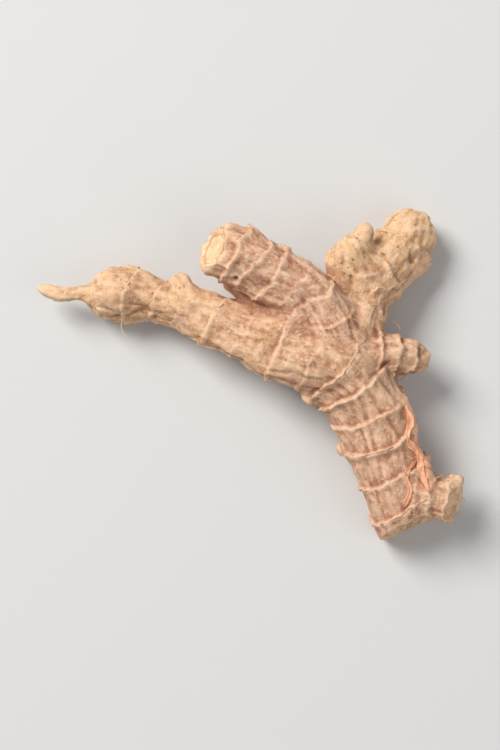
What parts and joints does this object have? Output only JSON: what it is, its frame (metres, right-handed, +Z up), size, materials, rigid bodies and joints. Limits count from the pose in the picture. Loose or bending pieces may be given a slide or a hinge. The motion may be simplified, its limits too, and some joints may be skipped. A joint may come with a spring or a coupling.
{
  "type": "galangal root",
  "caption": "Dried branched rhizome of galangal: a thick trunk, a long arm and short knobbly stubs, ringed by leaf scars, with cut ends.",
  "frame": {"origin": "centre of the bounding box in plan, on the surface that the root lies on", "axes": "+X along the longest extent, from the long arm's knob towards the trunk; +Y from the trunk's cut end towards the stubs; +Z up"},
  "size_m": [0.0818, 0.0644, 0.0194],
  "materials": {
    "dried_skin": "matt, wrinkled, light reddish brown with paler raised scars and buff cut ends"
  },
  "bodies": {
    "root": {"galangal_root": "dried_skin"}
  },
  "joints": []
}
